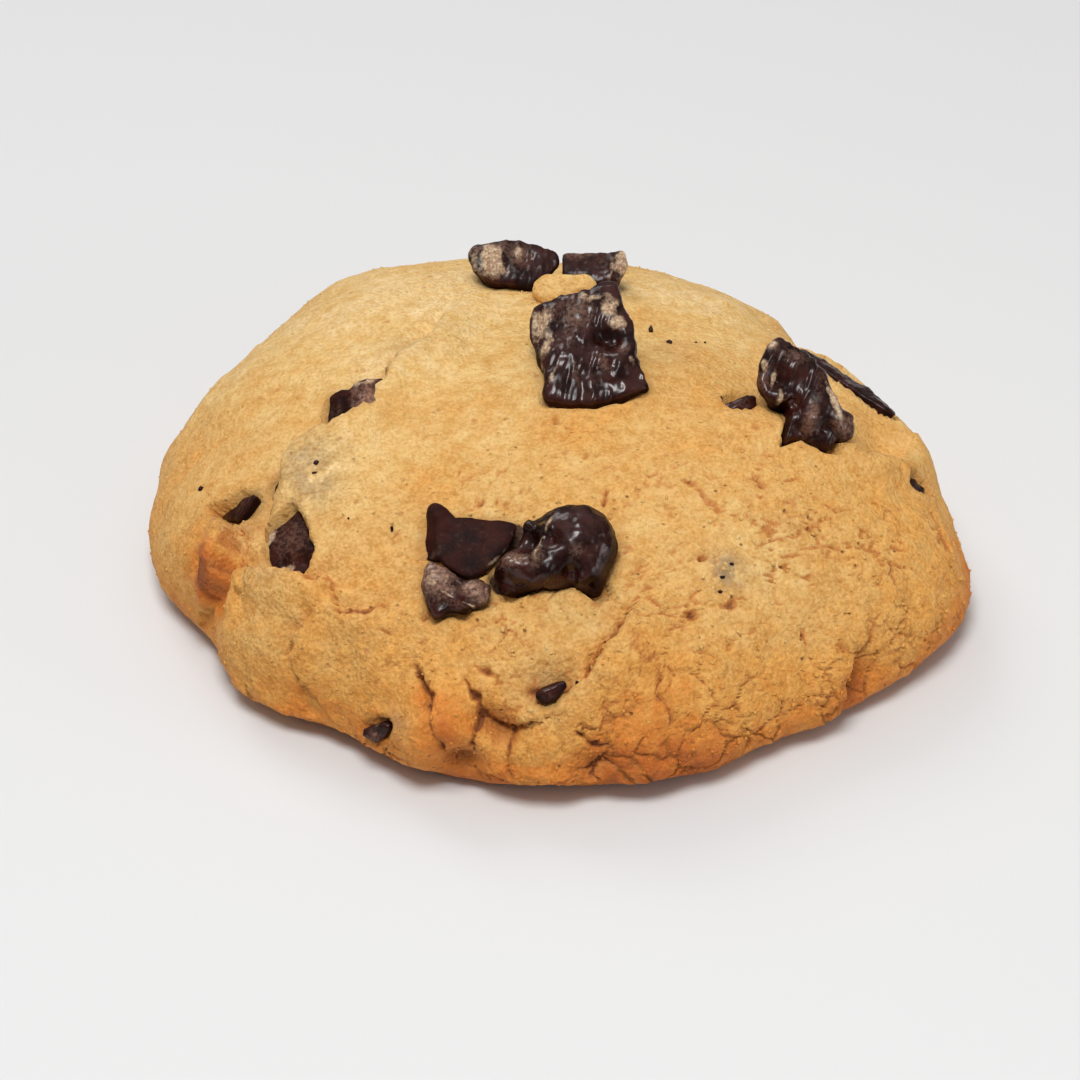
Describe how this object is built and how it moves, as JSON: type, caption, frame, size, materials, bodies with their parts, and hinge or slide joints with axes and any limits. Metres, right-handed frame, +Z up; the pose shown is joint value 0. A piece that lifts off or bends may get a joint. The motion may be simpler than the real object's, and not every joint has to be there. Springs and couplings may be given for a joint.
{
  "type": "chocolate chunk cookie",
  "caption": "Thick round baked cookie with a lumpy domed crust, a flat base, and dark chocolate chunks set in pockets in the dough.",
  "frame": {"origin": "on the flat base plane, under the middle of the cookie", "axes": "+Z up from the flat base through the dome, -Y towards the side that faces the picture's camera, +X to that camera's right"},
  "size_m": [0.0901, 0.0896, 0.0308],
  "materials": {
    "baked_dough": "matte golden crust, browner at the rim, finely grained and cracked",
    "dark_chocolate": "dark chocolate, part glossy and part dull, with pale bloom"
  },
  "bodies": {
    "root": {"dough": "baked_dough", "dough_knob": "baked_dough", "chunk_front_flat": "dark_chocolate", "chunk_front_glossy": "dark_chocolate", "chunk_front_pale": "dark_chocolate", "chunk_crown": "dark_chocolate", "chunk_back_left": "dark_chocolate", "chunk_back_right": "dark_chocolate", "chunk_right": "dark_chocolate", "chunk_right_edge": "dark_chocolate", "chunk_right_sliver": "dark_chocolate", "chunk_left_back": "dark_chocolate", "chunk_left": "dark_chocolate", "chunk_left_top": "dark_chocolate", "chunk_left_slit": "dark_chocolate", "chunk_rim": "dark_chocolate", "chunk_sunken": "dark_chocolate", "chunk_far_right": "dark_chocolate"}
  },
  "joints": []
}
